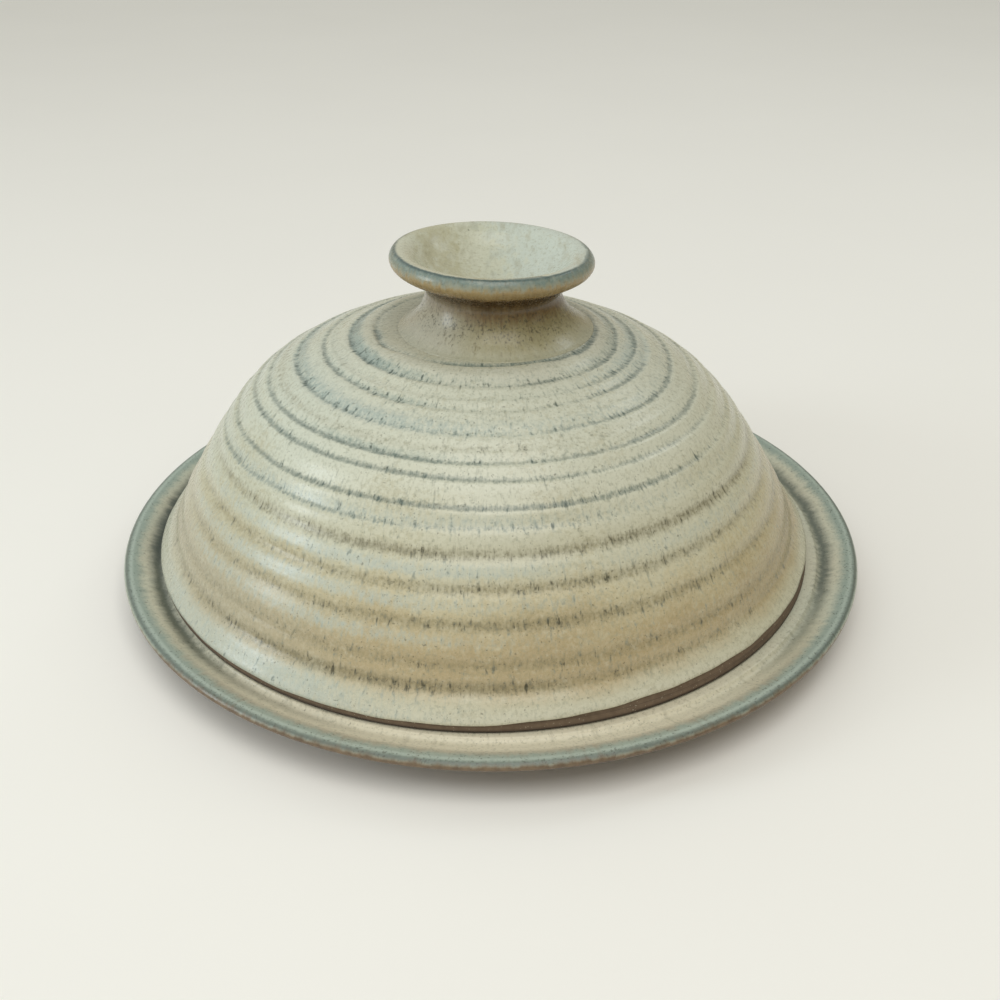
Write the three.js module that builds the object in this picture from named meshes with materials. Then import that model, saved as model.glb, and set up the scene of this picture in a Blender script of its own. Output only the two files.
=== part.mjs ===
// Butter crock: a round footed plate and a low domed lid with a flared knob, all thrown stoneware.
// Units are millimetres, +Z is up, the plate's foot ring stands on z = 0 and the plate is centred
// on the Z axis. Each pot is one turned profile, listed as [radius, height], and then pushed a
// little out of true, as hand-thrown pots are.
import * as THREE from "three";

// Driving dimensions
const PLATE_RADIUS = 100;
const FLOOR_Z = 10; // the flat glazed floor of the plate, where the lid stands

const LID_X = -1.8; // the lid stands a little to the left of the plate's centre
const LID_HEIGHT = 60.4;
const LID_LEAN = 0.8; // its crown leans this much further left
const LID_WALL = 5.3; // thickness of the wall, square to the surface
const LID_TILT = 0.03; // rise of its rings and crown towards the front, per unit of depth
const TILT_START = 5; // the tilt begins this far above the plate's floor, so the lip is level
const TILT_FULL = 25;

const SEAT_Z = FLOOR_Z + LID_HEIGHT; // flat crown of the lid, where the knob is stuck on
const SEAT_RADIUS = 28.8;
const SLIP = 0.002; // film of slip between crown and knob

const KNOB_FOOT_X = 0.9; // the knob was stuck on a little to the right,
const KNOB_RIM_X = -0.2; // and leans back to the left
const KNOB_RISE = 20.4; // crown to the knob's rim
const KNOB_DIP = 0.022; // its rim dips to the right, per unit of width,
const KNOB_LIFT = 0.038; // and rises towards the front, per unit of depth

const PLATE_SEGMENTS = 64;
const LID_SEGMENTS = 64;
const KNOB_SEGMENTS = 48;
const INSIDE_STEPS = 18; // points up the inside of the lid

// Turns a closed profile about the Z axis. The profile runs up the outside, so faces look outward.
function turned(profile, segments) {
  const points = profile.map(([radius, z]) => new THREE.Vector2(radius, z));
  const geometry = new THREE.LatheGeometry(points, segments);
  geometry.rotateX(Math.PI / 2);
  return geometry;
}

// Moves every vertex: change(point) alters the point it is given.
function reshaped(geometry, change) {
  const position = geometry.attributes.position;
  const point = new THREE.Vector3();
  for (let i = 0; i < position.count; i += 1) {
    point.fromBufferAttribute(position, i);
    change(point);
    position.setXYZ(i, point.x, point.y, point.z);
  }
  geometry.computeVertexNormals();
  return geometry;
}

// ---------------------------------------------------------------- plate

// Underside, from the axis out to the rim: a shallow recess inside a trimmed foot ring
const PLATE_UNDERSIDE = [
  [0, 3.6],
  [56.5, 3.6],
  [59, 2.6],
  [60, 0.6],
  [60.8, 0],
  [66, 0],
  [67, 0.7],
  [67.8, 3],
  [69.5, 4.1],
  [80, 4.9],
  [90, 6.6],
  [96, 8.2],
];

// Rounded rim of the flange, then down its inner slope into the groove and back up to the floor
const PLATE_TOP = [
  [PLATE_RADIUS - 1.1, 9.1],
  [PLATE_RADIUS - 0.2, 9.7],
  [PLATE_RADIUS, 10.3],
  [PLATE_RADIUS - 0.35, 10.95],
  [PLATE_RADIUS - 1, 11.4],
  [PLATE_RADIUS - 2, 11.5],
  [96.6, 11.25],
  [94.4, 10.5],
  [92.6, 9.75],
  [91.4, 9.3],
  [90.5, 9.2],
  [89.8, 9.5],
  [89.3, FLOOR_Z],
  [60, FLOOR_Z],
  [30, FLOOR_Z],
  [0, FLOOR_Z],
];

function plateGeometry() {
  return turned([...PLATE_UNDERSIDE, ...PLATE_TOP], PLATE_SEGMENTS);
}

// ---------------------------------------------------------------- dome

// Outer face of the lid above its bare foot, as [radius, height above the plate's floor]
const DOME_OUTSIDE = [
  [88.4, 3],
  [87.3, 4.6],
  [85.1, 7.4],
  [83.4, 10.2],
  [81.8, 13.5],
  [79.9, 17],
  [77.6, 21],
  [75.2, 25],
  [72.7, 29],
  [69.8, 33.5],
  [66.6, 37.9],
  [63.1, 42.1],
  [59.4, 45.7],
  [55.4, 48.8],
  [51, 51.5],
  [46.6, 53.8],
  [42.2, 55.7],
  [37.8, 57.3],
  [33.6, 58.9],
  [30.8, 60],
  [SEAT_RADIUS, LID_HEIGHT],
];

// Bare, unglazed foot that stands on the plate, cut back a little under the glazed lip
const DOME_FOOT = [
  [82.6, 0.8],
  [83.4, 0],
  [87.5, 0],
  [88, 0.4],
  [88.1, 2.4],
];

// Throwing grooves, as [distance up the wall from the glazed lip's edge, depth]
const GROOVES = [
  [7.5, 0.3],
  [12, 0.25],
  [16, 0.2],
  [20, 0.3],
  [23.2, 0.2],
  [27.8, 0.35],
  [31.2, 0.2],
  [35.7, 0.35],
  [41, 0.35],
  [45.6, 0.45],
  [52.4, 0.4],
  [56.8, 0.45],
  [60.5, 0.2],
  [64.5, 0.45],
  [68, 0.2],
  [72.3, 0.4],
  [75.6, 0.25],
  [80, 0.45],
];
const LIP_POINTS = [0, 0.9, 2, 3.5, 5.2]; // plain points below the first groove
const STEP_BELOW = 0.8; // a groove falls away sharply from the crest this far below it,
const STEP_ABOVE = 0.6; // to its deepest point this far above it

function domeCurve() {
  const points = DOME_OUTSIDE.map(([radius, z]) => new THREE.Vector3(radius, FLOOR_Z + z, 0));
  return new THREE.CatmullRomCurve3(points, false, "centripetal");
}

// A point of the outer face moved square to it: a positive distance is away from the lid's inside
function offsetPoint(curve, share, distance) {
  const point = curve.getPointAt(share);
  const along = curve.getTangentAt(share);
  return [point.x + along.y * distance, point.y - along.x * distance];
}

// Outer wall, from the lip up to the crown, with a sharp-edged terrace at each groove
function domeWall() {
  const curve = domeCurve();
  const length = curve.getLength();
  const wall = LIP_POINTS.map((distance) => offsetPoint(curve, distance / length, 0));
  for (const [distance, depth] of GROOVES) {
    wall.push(offsetPoint(curve, (distance - STEP_BELOW) / length, 0));
    wall.push(offsetPoint(curve, (distance + STEP_ABOVE) / length, -depth));
  }
  wall.push(offsetPoint(curve, 0.97, 0));
  wall.push([SEAT_RADIUS, SEAT_Z]);
  return wall;
}

// Inside of the lid, a smooth face one wall thickness in, from the crown down to the foot
function domeInside() {
  const curve = domeCurve();
  const inside = [[0, SEAT_Z - LID_WALL]];
  for (let step = INSIDE_STEPS; step >= 1; step -= 1) {
    inside.push(offsetPoint(curve, step / INSIDE_STEPS, -LID_WALL));
  }
  return inside;
}

function domeFoot() {
  return DOME_FOOT.map(([radius, height]) => [radius, FLOOR_Z + height]);
}

// Leans the lid left and tilts its rings and crown up at the front, leaving the lip level
function lidOutOfTrue(point) {
  const height = point.z - FLOOR_Z;
  const share = height / LID_HEIGHT;
  point.x += LID_X - LID_LEAN * share * share;
  point.z -= LID_TILT * point.y * THREE.MathUtils.smoothstep(height, TILT_START, TILT_FULL);
}

function domeGeometry() {
  const crown = [[0, SEAT_Z]];
  const profile = [...domeInside(), ...domeFoot(), ...domeWall(), ...crown];
  return reshaped(turned(profile, LID_SEGMENTS), lidOutOfTrue);
}

// ---------------------------------------------------------------- knob

// Flared foot, narrow waist, rolled rim and a dished top, as [radius, height above the crown]
const KNOB_OUTSIDE = [
  [0, 0],
  [24.7, 0],
  [25, 0.35],
  [23.2, 1.3],
  [20.8, 3.1],
  [18.9, 5.4],
  [17.7, 7.8],
  [17.2, 9.8],
  [17.5, 11],
  [18.8, 12.4],
  [20.8, 13.7],
  [23, 14.8],
  [24.8, 16],
  [25.6, 17.2],
  [25.7, 18.4],
  [25.2, 19.5],
  [24.3, KNOB_RISE],
  [23.2, KNOB_RISE],
  [21.8, 19.4],
  [19.5, 17.9],
  [16, 15.7],
  [12, 13.6],
  [8, 12],
  [4, 11.2],
  [0, 11],
];

// Leans the knob left, tips its rim down to the right and up at the front, and beds its foot on
// the tilted crown
function knobOutOfTrue(point) {
  const share = Math.min(1, (point.z - SEAT_Z) / KNOB_RISE);
  const lift = LID_TILT + (KNOB_LIFT - LID_TILT) * share;
  point.z += SLIP - lift * point.y - KNOB_DIP * share * point.x;
  point.x += KNOB_FOOT_X + (KNOB_RIM_X - KNOB_FOOT_X) * share;
}

function knobGeometry() {
  const profile = KNOB_OUTSIDE.map(([radius, height]) => [radius, SEAT_Z + height]);
  return reshaped(turned(profile, KNOB_SEGMENTS), knobOutOfTrue);
}

// ---------------------------------------------------------------- glazes

// Olive-tan glaze of the plate
function plateGlaze() {
  return new THREE.MeshStandardMaterial({ color: 0x8c8468, roughness: 0.32, metalness: 0 });
}

// Grey-green glaze of the dome
function domeGlaze() {
  return new THREE.MeshStandardMaterial({ color: 0x9a9880, roughness: 0.34, metalness: 0 });
}

// Paler glaze of the knob
function knobGlaze() {
  return new THREE.MeshStandardMaterial({ color: 0xa7a68f, roughness: 0.3, metalness: 0 });
}

// ---------------------------------------------------------------- assembly

function piece(name, geometry, material) {
  const mesh = new THREE.Mesh(geometry, material);
  mesh.name = name;
  return mesh;
}

const group = new THREE.Group();
group.name = "butter_crock";
group.add(piece("plate", plateGeometry(), plateGlaze()));
group.add(piece("dome", domeGeometry(), domeGlaze()));
group.add(piece("knob", knobGeometry(), knobGlaze()));

export default group;
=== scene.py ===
"""Looks of the butter crock: a glazed stoneware plate, a ringed domed lid and its flared knob.

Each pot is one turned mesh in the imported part's frame. Profiles are in millimetres, as [radius, height],
and become metres when the mesh is made. Azimuths are in degrees: 0 is right (+X) and -90 the front (-Y).
"""

import math

import bpy
import numpy as np
from mathutils import Matrix, Vector


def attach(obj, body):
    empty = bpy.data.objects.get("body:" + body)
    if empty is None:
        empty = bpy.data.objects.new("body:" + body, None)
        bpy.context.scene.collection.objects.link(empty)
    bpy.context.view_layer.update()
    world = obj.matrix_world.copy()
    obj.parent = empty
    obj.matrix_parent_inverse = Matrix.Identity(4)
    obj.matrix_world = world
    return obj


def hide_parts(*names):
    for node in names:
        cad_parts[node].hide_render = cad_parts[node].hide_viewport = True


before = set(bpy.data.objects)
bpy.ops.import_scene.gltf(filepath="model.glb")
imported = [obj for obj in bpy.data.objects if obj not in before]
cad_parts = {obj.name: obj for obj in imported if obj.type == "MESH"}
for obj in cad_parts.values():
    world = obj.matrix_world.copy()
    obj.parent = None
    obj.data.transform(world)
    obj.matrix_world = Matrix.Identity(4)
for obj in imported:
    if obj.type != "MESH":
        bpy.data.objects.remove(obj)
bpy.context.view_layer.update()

MM = 0.001

# ---------------------------------------------------------------- driving dimensions, mm

FLOOR_Z = 10.0  # the plate's glazed floor, where the lid stands
PLATE_RADIUS = 100.0

LID_X = -1.8  # the lid stands a little left of the plate's centre
LID_HEIGHT = 60.4
LID_LEAN = 0.8  # its crown leans this much further left
LID_WALL = 5.3
LID_TILT = 0.03  # rise of its rings towards the front, per unit of depth
TILT_START = 5.0
TILT_FULL = 25.0
SEAT_Z = FLOOR_Z + LID_HEIGHT
SEAT_RADIUS = 28.8

KNOB_FOOT_X = 0.9
KNOB_RIM_X = -0.2
KNOB_RISE = 20.4
KNOB_DIP = 0.022  # its rim dips to the right, per unit of width,
KNOB_LIFT = 0.038  # and rises towards the front, per unit of depth
SLIP = 0.002

WALL_LENGTH = 86.05  # up the lid's outer wall from the lip to the flat crown
DOME_SEGMENTS = 300
PLATE_SEGMENTS = 360
KNOB_SEGMENTS = 240


# ---------------------------------------------------------------- curves and profiles


def smoothstep(low, high, value):
    share = np.clip((value - low) / (high - low), 0, 1)
    return share * share * (3 - 2 * share)


def band(value, start, full, fade, end):
    """Rises from 0 at start to 1 at full, and falls from 1 at fade to 0 at end."""
    return smoothstep(start, full, value) * (1 - smoothstep(fade, end, value))


def around(stations, azimuth):
    """Value at each azimuth, easing between (azimuth, value) stations and closing round the full turn."""
    angles = np.array([angle % 360 for angle, _ in stations], float)
    values = np.array([value for _, value in stations], float)
    order = np.argsort(angles)
    angles = angles[order]
    values = values[order]
    angles = np.concatenate([[angles[-1] - 360], angles, [angles[0] + 360]])
    values = np.concatenate([[values[-1]], values, [values[0]]])
    wanted = np.asarray(azimuth, float) % 360
    right = np.clip(np.searchsorted(angles, wanted, side="right"), 1, len(angles) - 1)
    left = right - 1
    share = (wanted - angles[left]) / np.maximum(angles[right] - angles[left], 1e-6)
    share = share * share * (3 - 2 * share)
    return values[left] + (values[right] - values[left]) * share


def spline(points, per_span=24):
    """Centripetal Catmull-Rom curve through the points."""
    p = np.array(points, float)
    p = np.vstack([2 * p[0] - p[1], p, 2 * p[-1] - p[-2]])
    curve = []
    for i in range(1, len(p) - 2):
        a, b, c, d = p[i - 1 : i + 3]
        before, near, far = [max(1e-6, np.linalg.norm(leg) ** 0.5) for leg in (b - a, c - b, d - c)]
        leave = ((b - a) / before - (c - a) / (before + near) + (c - b) / near) * near
        arrive = ((c - b) / near - (d - b) / (near + far) + (d - c) / far) * near
        for t in np.linspace(0, 1, per_span, endpoint=False):
            bend = (3 * (c - b) - 2 * leave - arrive) * t**2
            twist = (2 * (b - c) + leave + arrive) * t**3
            curve.append(b + leave * t + bend + twist)
    curve.append(p[-2])
    return np.array(curve)


class Profile:
    """A profile curve that gives a point, and the direction square to it, at a distance along it."""

    def __init__(self, points, smooth=True):
        self.curve = spline(points) if smooth else np.array(points, float)
        steps = np.linalg.norm(np.diff(self.curve, axis=0), axis=1)
        self.along = np.concatenate([[0], np.cumsum(steps)])
        self.length = self.along[-1]
        slope = np.gradient(self.curve, self.along, axis=0)
        self.slope = slope / np.linalg.norm(slope, axis=1, keepdims=True)

    def radius(self, distance):
        return np.interp(distance, self.along, self.curve[:, 0])

    def height(self, distance):
        return np.interp(distance, self.along, self.curve[:, 1])

    def square(self, distance):
        """Direction to the right of travel, as (radial, up)."""
        radial = np.interp(distance, self.along, self.slope[:, 1])
        up = -np.interp(distance, self.along, self.slope[:, 0])
        return radial, up


def ripple(azimuth, height, seed, size):
    """Slow unevenness of hand work: a few waves round the pot that drift with height, about +-size."""
    turn = np.radians(azimuth)
    drift = 0.03  # radians per mm of height
    total = 0
    for wave in range(1, 5):
        phase = seed * 1.7 + wave * 2.3
        total = total + np.sin(wave * turn + phase + height * drift * wave) / wave
    return total * size / 2


# ---------------------------------------------------------------- meshes


def place(radius, height, azimuth):
    """Points in mm, turned about the Z axis."""
    turn = np.radians(azimuth)
    return np.stack([radius * np.cos(turn), radius * np.sin(turn), height + 0 * turn], axis=-1)


def ring_faces(rows, segments):
    """Quads between rings of vertices, and a fan to a pole at each end."""
    faces = []
    for row in range(rows - 1):
        low = row * segments
        high = low + segments
        for k in range(segments):
            after = (k + 1) % segments
            faces.append((low + k, low + after, high + after, high + k))
    start_pole = rows * segments
    end_pole = start_pole + 1
    top = (rows - 1) * segments
    for k in range(segments):
        after = (k + 1) % segments
        faces.append((start_pole, after, k))
        faces.append((end_pole, top + k, top + after))
    return faces


def pot_mesh(name, points, values):
    """Makes a turned object from points (rows, segments, 3) in mm. Each entry of values is a named number
    for every point, kept as a vertex attribute for the glaze; the first and last rings close on the axis."""
    rows, segments, _ = points.shape
    flat = points.reshape(-1, 3)
    poles = np.stack([points[0].mean(axis=0), points[-1].mean(axis=0)])
    mesh = bpy.data.meshes.new(name)
    mesh.from_pydata((np.vstack([flat, poles]) * MM).tolist(), [], ring_faces(rows, segments))
    mesh.polygons.foreach_set("use_smooth", [True] * len(mesh.polygons))
    for label, grid in values.items():
        grid = np.broadcast_to(grid, (rows, segments)).astype(np.float32)
        column = np.concatenate([grid.ravel(), [grid[0].mean(), grid[-1].mean()]])
        attribute = mesh.attributes.new(label, "FLOAT", "POINT")
        attribute.data.foreach_set("value", column.astype(np.float32))
    mesh.update()
    thing = bpy.data.objects.new(name, mesh)
    bpy.context.scene.collection.objects.link(thing)
    return thing


def finish_pot(thing, glaze, body, node):
    """Glazes the mesh and lets it stand for its CAD node."""
    thing.data.materials.append(glaze)
    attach(thing, body)
    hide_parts(node)


# ---------------------------------------------------------------- plate

PLATE_UNDERSIDE = [
    [2, 3.6], [30, 3.55], [56.5, 3.6], [59, 2.6], [60, 0.6], [60.8, 0], [66, 0], [67, 0.7], [67.8, 3],
    [69.5, 4.1], [80, 4.9], [90, 6.6], [96, 8.2],
]
PLATE_RIM = [
    [PLATE_RADIUS - 1.1, 9.1], [PLATE_RADIUS - 0.2, 9.7], [PLATE_RADIUS, 10.3],
    [PLATE_RADIUS - 0.35, 10.95], [PLATE_RADIUS - 1, 11.4], [PLATE_RADIUS - 2, 11.5], [96.6, 11.25],
    [94.4, 10.5], [92.6, 9.75], [91.4, 9.3], [90.5, 9.2], [89.8, 9.5], [89.3, FLOOR_Z],
]
PLATE_FLOOR = [[88.9, FLOOR_Z], [60, FLOOR_Z], [30, FLOOR_Z], [2, FLOOR_Z]]


def steps_along(spacing, length):
    return np.linspace(0, length, max(2, int(round(length / spacing)) + 1))


# distance between the rows of vertices along each stretch of the plate's profile
UNDERSIDE_SPACING = 1.2
RIM_SPACING = 0.3
FLOOR_SPACING = 2.0
FLANGE_UNEVENNESS = 0.12
TURNING_DEPTH = 0.06  # marks of the turning tool under the flange
TURNING_PITCH = 4.5
# strength of the dark groove round the floor, dark glaze gathered in it with a painted dark reflection in its
# hollow, and of a darker patch over it at the left, a painted dark reflection, by azimuth
PLATE_GROOVE = [
    (-180, 1), (-150, 0.95), (-125, 0.4), (-100, 0.05), (-50, 0.1), (-30, 0.55), (-15, 1), (0, 1), (60, 0.7),
    (130, 0.8),
]
PLATE_DARK_REFLECTION = [(158, 0), (166, 1), (186, 1), (196, 0), (300, 0), (30, 0)]


def build_plate():
    azimuth = np.arange(PLATE_SEGMENTS) * 360.0 / PLATE_SEGMENTS
    under = Profile(PLATE_UNDERSIDE + PLATE_RIM[:1])
    rim = Profile(PLATE_RIM)
    floor = Profile(PLATE_FLOOR, smooth=False)
    stretches = [
        (under, steps_along(UNDERSIDE_SPACING, under.length)[:-1]),
        (rim, steps_along(RIM_SPACING, rim.length)),
        (floor, steps_along(FLOOR_SPACING, floor.length)),
    ]
    radius = np.concatenate([shape.radius(distance) for shape, distance in stretches])[:, None]
    height = np.concatenate([shape.height(distance) for shape, distance in stretches])[:, None]
    top = np.ones_like(height)
    top[: len(stretches[0][1])] = 0
    # the inner slope and the underside rise and fall a little round the plate; rim, foot and floor stay true
    wobble = ripple(azimuth, radius, 3, FLANGE_UNEVENNESS) * band(radius, 90.5, 92.5, 96, 98.5)
    turning = TURNING_DEPTH * np.sin(radius * 2 * math.pi / TURNING_PITCH) * band(radius, 69, 71, 94, 96)
    height = np.maximum(height, 0) + wobble + turning * (1 - top)
    points = place(radius + 0 * azimuth, height, azimuth + 0 * radius)
    values = {"top": top, "groove": around(PLATE_GROOVE, azimuth), "smear": around(PLATE_DARK_REFLECTION, azimuth)}
    finish_pot(pot_mesh("plate_pot", points, values), plate_glaze(), "plate", "plate")


# ---------------------------------------------------------------- dome

DOME_OUTSIDE = [
    [88.4, 3], [87.3, 4.6], [85.1, 7.4], [83.4, 10.2], [81.8, 13.5], [79.9, 17], [77.6, 21], [75.2, 25],
    [72.7, 29], [69.8, 33.5], [66.6, 37.9], [63.1, 42.1], [59.4, 45.7], [55.4, 48.8], [51, 51.5],
    [46.6, 53.8], [42.2, 55.7], [37.8, 57.3], [33.6, 58.9], [30.8, 60], [SEAT_RADIUS, LID_HEIGHT],
]

# Throwing grooves from the lip up. height: distance up the wall, by azimuth. depth: of the groove.
# A crisp groove is a sharp step. line: darkness of the glaze gathered in its corner. pool: blue-grey glaze
# gathered above the line, reaching up by width. haze: pale blue-grey glaze that spreads further, and a
# painted
# reflection too: on the lower bands at the left and the upper grooves at the right it stands in for pale-blue
# glints of the windows.
# A soft groove is a shallow channel. brown: a soft tan band along it. dark: how much of that band turns
# into short dark strokes. Lists are strengths from 0 to 1, by azimuth.
GROOVES = [
    dict(
        height=[(-90, 7.4), (90, 7.8)],
        depth=0.52,
        brown=[(-180, 0.3), (-150, 0.5), (-130, 0.8), (-90, 0.85), (-70, 0.6), (-45, 0.4), (0, 0.35),
               (90, 0.7)],
        dark=0.6,
    ),
    dict(
        height=[(-90, 12), (90, 11.6)],
        depth=0.36,
        brown=[(-180, 0.2), (-150, 0.45), (-90, 0.6), (-50, 0.55), (0, 0.4), (90, 0.5)],
        dark=0.55,
    ),
    dict(
        height=[(-140, 16), (-90, 15.8), (90, 16.4)],
        depth=0.06,
        haze=[(-170, 0), (-145, 0.5), (-120, 0.55), (-95, 0.3), (-75, 0.1), (0, 0.05), (90, 0.4)],
        width=1.8,
    ),
    dict(
        height=[(-90, 19.9), (90, 20.3)],
        depth=0.46,
        brown=[(-180, 0.2), (-150, 0.5), (-90, 0.7), (-60, 0.65), (-20, 0.5), (30, 0.4), (100, 0.6)],
        dark=0.6,
    ),
    dict(
        height=[(-150, 22.6), (-120, 23.2), (-90, 23), (60, 23.6)],
        depth=0.06,
        haze=[(-175, 0.1), (-150, 0.5), (-130, 0.75), (-110, 0.6), (-85, 0.3), (-60, 0.1), (0, 0.1),
              (90, 0.5)],
        width=2.0,
    ),
    dict(
        height=[(-90, 27.7), (90, 27.3)],
        depth=0.52,
        brown=[(-180, 0.15), (-150, 0.5), (-100, 0.65), (-60, 0.65), (-20, 0.5), (30, 0.4), (100, 0.6)],
        dark=0.65,
    ),
    dict(
        height=[(-130, 30.6), (-90, 30.8), (-30, 30.4), (90, 31)],
        depth=0.06,
        haze=[(-175, 0.1), (-145, 0.55), (-115, 0.7), (-85, 0.55), (-70, 0.25), (-45, 0.4), (0, 0.1),
              (90, 0.5)],
        width=1.9,
    ),
    dict(
        height=[(-160, 35.3), (-90, 35.4), (90, 35.3)],
        depth=0.54,
        brown=[(-180, 0.2), (-145, 0.55), (-110, 0.75), (-85, 0.6), (-50, 0.7), (0, 0.5), (100, 0.6)],
        dark=0.75,
    ),
    dict(
        height=[(-178, 38.3), (-155, 39.4), (-135, 40.5), (-90, 41.3), (-45, 40.6), (0, 41), (100, 40)],
        depth=0.36,
        line=[(175, 0.3), (-175, 0.5), (-158, 0.8), (-130, 0.7), (-100, 0.6), (-75, 0.55), (-58, 0.35),
              (-45, 0.05), (0, 0.1), (60, 0.6), (120, 0.7)],
        pool=[(-175, 0.3), (-140, 0.3), (-90, 0.1), (-60, 0.15), (-40, 0.1), (30, 0.2), (110, 0.6)],
        haze=[(-180, 0.2), (-140, 0.6), (-100, 0.5), (-60, 0.3), (-20, 0.1), (90, 0.4)],
        width=2.2,
    ),
    dict(
        height=[(-168, 44.4), (-145, 45.2), (-110, 45.9), (-50, 45.5), (0, 45.8), (90, 45)],
        depth=0.45,
        line=[(-178, 0.45), (-165, 0.7), (-145, 0.95), (-85, 1), (-55, 0.9), (-38, 0.8), (-30, 0.5),
              (0, 0.4), (60, 0.8), (130, 0.6)],
        pool=[(-170, 0.2), (-120, 0.2), (-60, 0.25), (-35, 0.1), (60, 0.3)],
        width=1.6,
    ),
    dict(
        height=[(-176, 51.4), (-150, 52.3), (-110, 52.9), (-60, 51.9), (-15, 51.5), (90, 52.4)],
        depth=0.4,
        line=[(-176, 0.7), (-150, 0.95), (-105, 1), (-75, 0.75), (-55, 0.7), (-20, 0.65), (-8, 0.3),
              (40, 0.5), (120, 0.9)],
        pool=[(-175, 0.35), (-150, 0.4), (-120, 0.25), (-80, 0.2), (0, 0.1), (100, 0.4)],
        width=2.0,
    ),
    dict(
        height=[(-165, 56.5), (-120, 57), (-90, 56.8), (-30, 56.1), (0, 57.2), (100, 56.6)],
        depth=0.45,
        line=[(-178, 0.6), (-150, 0.95), (-115, 1), (-85, 0.75), (-60, 0.85), (-25, 0.9), (5, 0.5),
              (60, 0.8), (140, 0.9)],
        pool=[(-178, 0.35), (-150, 0.2), (-122, 0.55), (-105, 0.45), (-80, 0.2), (-20, 0.2), (60, 0.5),
              (140, 0.4)],
        width=2.6,
    ),
    dict(
        height=[(-90, 60.4), (90, 60.8)],
        depth=0.2,
        brown=[(-180, 0.4), (-120, 0.4), (-60, 0.3), (-30, 0.05), (60, 0.2), (130, 0.4)],
        dark=0.5,
    ),
    dict(
        height=[(-180, 64.8), (-158, 65.2), (-110, 64.7), (-70, 64.3), (-30, 63.7), (0, 65), (100, 64.4)],
        depth=0.45,
        line=[(-178, 0.6), (-158, 0.9), (-140, 0.6), (-105, 0.5), (-85, 0.4), (-62, 0.7), (-35, 0.95),
              (5, 0.8), (70, 0.9), (140, 0.7)],
        pool=[(-180, 0.7), (-155, 0.6), (-120, 0.4), (-100, 0.35), (-80, 0.2), (-40, 0.2), (0, 0.15),
              (70, 0.6)],
        haze=[(-180, 0.6), (-120, 0.7), (-80, 0.4), (-30, 0.3), (90, 0.5)],
        width=3.4,
    ),
    dict(
        height=[(-90, 68.3), (90, 68)],
        depth=0.2,
        brown=[(-180, 0.3), (-120, 0.35), (-95, 0.2), (-70, 0.1), (90, 0.3)],
        dark=0.6,
    ),
    dict(
        height=[(-170, 73), (-140, 72.8), (-115, 72.2), (-75, 71.6), (-25, 71.3), (40, 72.4), (120, 73)],
        depth=0.4,
        line=[(175, 0.7), (-165, 0.95), (-130, 0.65), (-105, 0.2), (-90, 0.15), (-72, 0.5), (-30, 0.95),
              (-18, 0.8), (-12, 0.05), (40, 0.4), (110, 0.8)],
        pool=[(-180, 0.3), (-150, 0.45), (-115, 0.55), (-98, 0.2), (-70, 0.1), (40, 0.3), (110, 0.5)],
        # this haze, strongest at the right, is a painted reflection: pale-blue glints of the windows on the
        # crown
        haze=[(-60, 0), (-38, 0.4), (-15, 0.7), (5, 0.6), (40, 0.3), (90, 0)],
        width=2.2,
    ),
    dict(
        height=[(-140, 76), (-90, 75.6), (-40, 74.9), (0, 74.8), (90, 75.5)],
        depth=0.25,
        line=[(180, 0), (-140, 0.1), (-90, 0.2), (-60, 0.4), (-30, 0.85), (5, 0.95), (40, 0.5), (90, 0.2)],
        pool=[(-150, 0.15), (-90, 0.1), (-30, 0.3), (0, 0.6), (50, 0.4), (120, 0.1)],
        # this haze, strongest at the right, is a painted reflection: pale-blue glints of the windows on the
        # crown
        haze=[(-62, 0), (-42, 0.3), (-18, 0.8), (8, 0.8), (40, 0.3), (90, 0)],
        width=2.4,
    ),
    dict(
        height=[(-180, 80.4), (-140, 80.2), (-70, 79.7), (-30, 79.2), (0, 80), (90, 80)],
        depth=0.45,
        line=[(180, 0.7), (-150, 0.75), (-115, 0.55), (-95, 0.35), (-80, 0.5), (-64, 0.9), (-50, 0.6),
              (-30, 1), (5, 0.75), (70, 0.6), (130, 0.9)],
        pool=[(-180, 1), (-150, 1), (-125, 0.6), (-100, 0.3), (-60, 0.25), (-30, 0.45), (0, 0.6),
              (70, 0.6)],
        width=3.6,
    ),
]
STEP_BELOW = 1.2  # a groove falls away from the crest this far below its line,
STEP_ABOVE = 0.6  # to its deepest point this far above it,
RECOVERY = 5.0  # and the wall is back on its profile this far up at the latest
SOFT_REACH = 3.4  # a soft groove is a shallow channel that reaches this far up and down
ROW_SPACING = 0.62
ROW_SPACING_IN_STEP = 0.3

LIP_RADIUS = DOME_OUTSIDE[0][0]
LIP_RISE = DOME_OUTSIDE[0][1]  # usual edge of the glaze above the plate's floor
LIP_SLOPE = 0.69  # the wall draws in by this for each mm that the glaze stops short
# how far the glaze runs down over the bare foot from its usual edge, or stops short of it, by azimuth
LIP_DROP = [
    (180, 0.7), (-130, 0.65), (-108, 0.6), (-92, 0.45), (-84, -0.1), (-72, -0.6), (-60, -1.0), (-20, -0.9),
    (10, -0.6), (70, 0.2),
]
# bare foot from its inside edge to its outer corner, as (radius, height above the plate's floor)
FOOT_CORNERS = [
    (82.4, 1.2), (82.8, 0.5), (83.4, 0.06), (83.9, 0), (87, 0), (87.5, 0.05), (87.9, 0.25), (88.15, 0.55),
]
# pale blue-grey haze over the lip, by azimuth: pale glaze with a painted reflection of the left window's
# glint on it
LIP_HAZE = [(-170, 0), (-148, 0.5), (-124, 0.7), (-104, 0.35), (-86, 0.05), (-60, 0), (90, 0.1)]

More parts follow.
